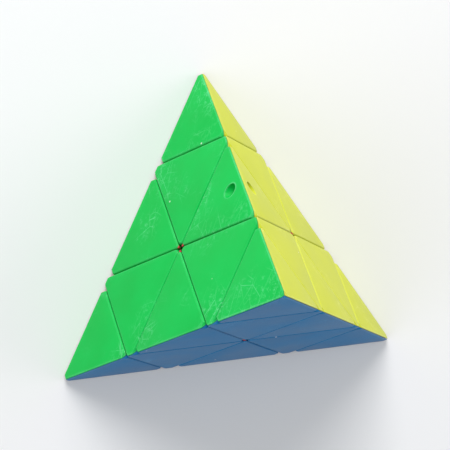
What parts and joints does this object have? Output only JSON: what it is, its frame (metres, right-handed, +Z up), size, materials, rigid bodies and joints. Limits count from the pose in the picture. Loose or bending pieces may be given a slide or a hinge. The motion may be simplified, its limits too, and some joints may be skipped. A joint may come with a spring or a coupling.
{
  "type": "pyramid twisty puzzle",
  "caption": "Tetrahedral twisty puzzle in solid-coloured plastic: turning tips and corner layers on a sprung core, with a key-ring hole through one edge piece.",
  "frame": {"origin": "the centre of the tetrahedron, where the four turning axes cross", "axes": "+Z up through the top corner, where the green, yellow and blue faces meet; the back corner, at the other end of the ridge between the green and yellow faces, points along +Y; the red face rests at z = -0.00919"},
  "size_m": [0.0438, 0.0381, 0.0358],
  "materials": {
    "green": "satin",
    "yellow": "satin",
    "red": "satin",
    "blue": "satin",
    "black": "matte",
    "steel": "plated"
  },
  "bodies": {
    "core": {"core": "black", "screw_top": "steel", "screw_back": "steel", "screw_left": "steel", "screw_right": "steel"},
    "layer_top": {"centre_top_blue": "blue", "centre_top_yellow": "yellow", "centre_top_green": "green", "hub_top": "black", "spring_top": "steel"},
    "tip_top": {"tip_top_blue": "blue", "tip_top_yellow": "yellow", "tip_top_green": "green", "tip_post_top": "black"},
    "layer_back": {"centre_back_red": "red", "centre_back_yellow": "yellow", "centre_back_green": "green", "hub_back": "black", "spring_back": "steel"},
    "tip_back": {"tip_back_red": "red", "tip_back_yellow": "yellow", "tip_back_green": "green", "tip_post_back": "black"},
    "layer_left": {"centre_left_red": "red", "centre_left_blue": "blue", "centre_left_green": "green", "hub_left": "black", "spring_left": "steel"},
    "tip_left": {"tip_left_red": "red", "tip_left_blue": "blue", "tip_left_green": "green", "tip_post_left": "black"},
    "layer_right": {"centre_right_red": "red", "centre_right_blue": "blue", "centre_right_yellow": "yellow", "hub_right": "black", "spring_right": "steel"},
    "tip_right": {"tip_right_red": "red", "tip_right_blue": "blue", "tip_right_yellow": "yellow", "tip_post_right": "black"},
    "edge_top_back": {"edge_top_back_yellow": "yellow", "edge_top_back_green": "green", "edge_foot_top_back": "red"},
    "edge_top_left": {"edge_top_left_blue": "blue", "edge_top_left_green": "green", "edge_foot_top_left": "red"},
    "edge_top_right": {"edge_top_right_blue": "blue", "edge_top_right_yellow": "yellow", "edge_foot_top_right": "red"},
    "edge_back_left": {"edge_back_left_red": "red", "edge_back_left_green": "green", "edge_foot_back_left": "red"},
    "edge_back_right": {"edge_back_right_red": "red", "edge_back_right_yellow": "yellow", "edge_foot_back_right": "red"},
    "edge_left_right": {"edge_left_right_red": "red", "edge_left_right_blue": "blue", "edge_foot_left_right": "red"}
  },
  "joints": [
    {"name": "turn_layer_top", "type": "hinge", "parent": "core", "child": "layer_top", "pos_m": [0, 0, 0], "axis": [0, 0, 1], "range_deg": [-600, 480]},
    {"name": "turn_layer_back", "type": "hinge", "parent": "core", "child": "layer_back", "pos_m": [0, 0, 0], "axis": [0, 0.9428, -0.3333], "range_deg": [-600, 480]},
    {"name": "turn_layer_left", "type": "hinge", "parent": "core", "child": "layer_left", "pos_m": [0, 0, 0], "axis": [-0.8165, -0.4714, -0.3333], "range_deg": [-600, 480]},
    {"name": "turn_layer_right", "type": "hinge", "parent": "core", "child": "layer_right", "pos_m": [0, 0, 0], "axis": [0.8165, -0.4714, -0.3333], "range_deg": [-600, 480]},
    {"name": "turn_tip_top", "type": "hinge", "parent": "layer_top", "child": "tip_top", "pos_m": [0, 0, 0], "axis": [0, 0, 1], "continuous": true},
    {"name": "turn_tip_back", "type": "hinge", "parent": "layer_back", "child": "tip_back", "pos_m": [0, 0, 0], "axis": [0, 0.9428, -0.3333], "continuous": true},
    {"name": "turn_tip_left", "type": "hinge", "parent": "layer_left", "child": "tip_left", "pos_m": [0, 0, 0], "axis": [-0.8165, -0.4714, -0.3333], "continuous": true},
    {"name": "turn_tip_right", "type": "hinge", "parent": "layer_right", "child": "tip_right", "pos_m": [0, 0, 0], "axis": [0.8165, -0.4714, -0.3333], "continuous": true},
    {"name": "carry_top_back", "type": "hinge", "parent": "layer_top", "child": "edge_top_back", "pos_m": [0, 0, 0], "axis": [0, 0.9428, -0.3333], "range_deg": [-600, 480]},
    {"name": "carry_top_left", "type": "hinge", "parent": "layer_top", "child": "edge_top_left", "pos_m": [0, 0, 0], "axis": [-0.8165, -0.4714, -0.3333], "range_deg": [-600, 480]},
    {"name": "carry_top_right", "type": "hinge", "parent": "layer_top", "child": "edge_top_right", "pos_m": [0, 0, 0], "axis": [0.8165, -0.4714, -0.3333], "range_deg": [-600, 480]},
    {"name": "carry_back_left", "type": "hinge", "parent": "layer_back", "child": "edge_back_left", "pos_m": [0, 0, 0], "axis": [-0.8165, -0.4714, -0.3333], "range_deg": [-600, 480]},
    {"name": "carry_back_right", "type": "hinge", "parent": "layer_right", "child": "edge_back_right", "pos_m": [0, 0, 0], "axis": [0, 0.9428, -0.3333], "range_deg": [-600, 480]},
    {"name": "carry_left_right", "type": "hinge", "parent": "layer_left", "child": "edge_left_right", "pos_m": [0, 0, 0], "axis": [0.8165, -0.4714, -0.3333], "range_deg": [-600, 480]}
  ],
  "couplings": [
    {"joint": "carry_top_back", "follows": "turn_layer_back", "ratio": 1},
    {"joint": "carry_top_left", "follows": "turn_layer_left", "ratio": 1},
    {"joint": "carry_top_right", "follows": "turn_layer_right", "ratio": 1},
    {"joint": "carry_back_left", "follows": "turn_layer_left", "ratio": 1},
    {"joint": "carry_back_right", "follows": "turn_layer_back", "ratio": 1},
    {"joint": "carry_left_right", "follows": "turn_layer_right", "ratio": 1}
  ]
}
